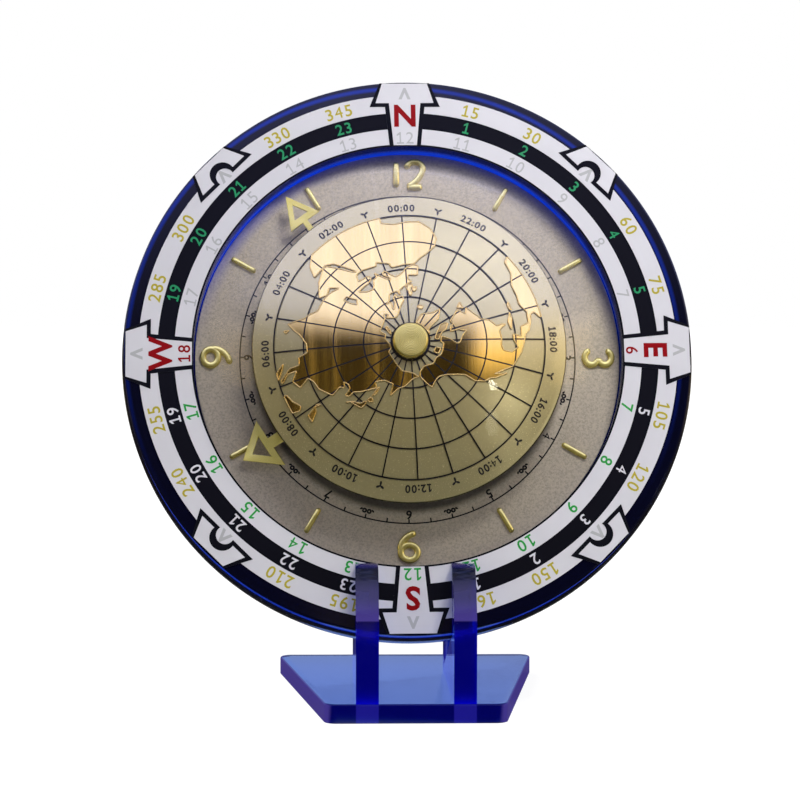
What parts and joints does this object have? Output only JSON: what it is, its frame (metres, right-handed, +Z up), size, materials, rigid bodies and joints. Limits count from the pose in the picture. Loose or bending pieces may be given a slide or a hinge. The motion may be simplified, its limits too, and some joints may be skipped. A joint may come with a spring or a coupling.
{
  "type": "world time clock",
  "caption": "Round desk clock on a slotted blue acrylic stand, with a domed turning world disc, arrow hands and a rotating compass bezel.",
  "frame": {"origin": "centre of the base's bottom face", "axes": "+Z up, -Y towards the viewer, +X to the viewer's right"},
  "size_m": [0.182, 0.098, 0.1989],
  "materials": {
    "blue_acrylic": "polished clear blue sheet",
    "black_acrylic": "gloss black sheet",
    "dial_metal": "fine grained warm grey",
    "steel": "plain",
    "gold": "polished gold tone",
    "disc_champagne": "satin champagne",
    "brass": "turned",
    "black_plastic": "moulded",
    "white_plastic": "moulded",
    "crystal": "clear polished",
    "scale_black": "printed film",
    "scale_white": "printed film",
    "board_green": "lacquered board",
    "cell_jacket": "plain jacket",
    "copper": "enamelled copper wire"
  },
  "bodies": {
    "stand": {"stand_base": "blue_acrylic", "stand_arm_left": "blue_acrylic", "stand_arm_right": "blue_acrylic"},
    "head": {"back_plate": "black_acrylic", "dial_plate": "dial_metal", "dial_screws": "steel", "hour_numerals": "gold", "hour_batons": "gold", "movement_case": "black_plastic", "movement_cover": "black_plastic", "cover_screws": "steel", "centre_washer": "brass", "centre_nut": "brass", "circuit_board": "board_green", "quartz_can": "steel", "stator_plate": "steel", "coil_core": "steel", "coil_bobbin": "white_plastic", "coil_winding": "copper", "battery_cell": "cell_jacket", "contact_positive": "steel", "contact_negative": "steel"},
    "bezel": {"bezel_ring": "blue_acrylic", "scale_backing": "scale_black", "outer_scale": "scale_white", "inner_scale": "scale_white", "cardinal_arrows": "scale_white", "diagonal_marks": "scale_white", "crystal_dome": "crystal"},
    "minute": {"minute_arbor": "brass", "minute_hand": "gold"},
    "hour": {"hour_wheel": "brass", "hour_hand": "gold"},
    "world_map": {"world_disc": "disc_champagne", "landmass_relief": "gold", "world_hub": "brass", "world_arbor": "steel", "world_wheel": "brass", "knob_washer": "black_plastic", "centre_knob": "brass"},
    "motion": {"motion_wheel": "white_plastic"},
    "intermediate": {"intermediate_wheel": "white_plastic"},
    "third": {"third_wheel": "white_plastic"},
    "fourth": {"fourth_wheel": "white_plastic"},
    "motor_rotor": {"rotor": "white_plastic"},
    "setting": {"setting_arbor": "white_plastic", "setting_knob": "black_plastic"},
    "door": {"battery_door": "black_plastic"}
  },
  "joints": [
    {"name": "head_lift", "type": "slide", "parent": "stand", "child": "head", "axis": [0, 0.2588, 0.9659], "range_m": [0, 0.06]},
    {"name": "bezel_turn", "type": "hinge", "parent": "head", "child": "bezel", "pos_m": [-0.0013, -0.0142, 0.1121], "axis": [0, -0.9659, 0.2588], "continuous": true},
    {"name": "minute_turn", "type": "hinge", "parent": "head", "child": "minute", "pos_m": [-0.0013, -0.0142, 0.1121], "axis": [0, -0.9659, 0.2588], "continuous": true},
    {"name": "hour_turn", "type": "hinge", "parent": "head", "child": "hour", "pos_m": [-0.0013, -0.0142, 0.1121], "axis": [0, -0.9659, 0.2588], "continuous": true},
    {"name": "world_turn", "type": "hinge", "parent": "head", "child": "world_map", "pos_m": [-0.0013, -0.0142, 0.1121], "axis": [0, -0.9659, 0.2588], "continuous": true},
    {"name": "motion_turn", "type": "hinge", "parent": "head", "child": "motion", "pos_m": [-0.0113, -0.0142, 0.1121], "axis": [0, -0.9659, 0.2588], "continuous": true},
    {"name": "intermediate_turn", "type": "hinge", "parent": "head", "child": "intermediate", "pos_m": [-0.00681, -0.01189, 0.12073], "axis": [0, -0.9659, 0.2588], "continuous": true},
    {"name": "third_turn", "type": "hinge", "parent": "head", "child": "third", "pos_m": [0.00772, -0.01335, 0.11527], "axis": [0, -0.9659, 0.2588], "continuous": true},
    {"name": "fourth_turn", "type": "hinge", "parent": "head", "child": "fourth", "pos_m": [0.00979, -0.01135, 0.12274], "axis": [0, -0.9659, 0.2588], "continuous": true},
    {"name": "rotor_turn", "type": "hinge", "parent": "head", "child": "motor_rotor", "pos_m": [0.0074, -0.00965, 0.12909], "axis": [0, -0.9659, 0.2588], "continuous": true},
    {"name": "setting_turn", "type": "hinge", "parent": "head", "child": "setting", "pos_m": [-0.0213, -0.0142, 0.1121], "axis": [0, -0.9659, 0.2588], "continuous": true},
    {"name": "door_slide", "type": "slide", "parent": "head", "child": "door", "axis": [1, 0, 0], "range_m": [0, 0.052]}
  ],
  "couplings": [
    {"joint": "minute_turn", "follows": "world_turn", "ratio": -24},
    {"joint": "hour_turn", "follows": "world_turn", "ratio": -2},
    {"joint": "motion_turn", "follows": "world_turn", "ratio": 8},
    {"joint": "intermediate_turn", "follows": "world_turn", "ratio": -2},
    {"joint": "third_turn", "follows": "world_turn", "ratio": 120},
    {"joint": "fourth_turn", "follows": "world_turn", "ratio": -480},
    {"joint": "rotor_turn", "follows": "world_turn", "ratio": 2880},
    {"joint": "setting_turn", "follows": "world_turn", "ratio": -24}
  ]
}
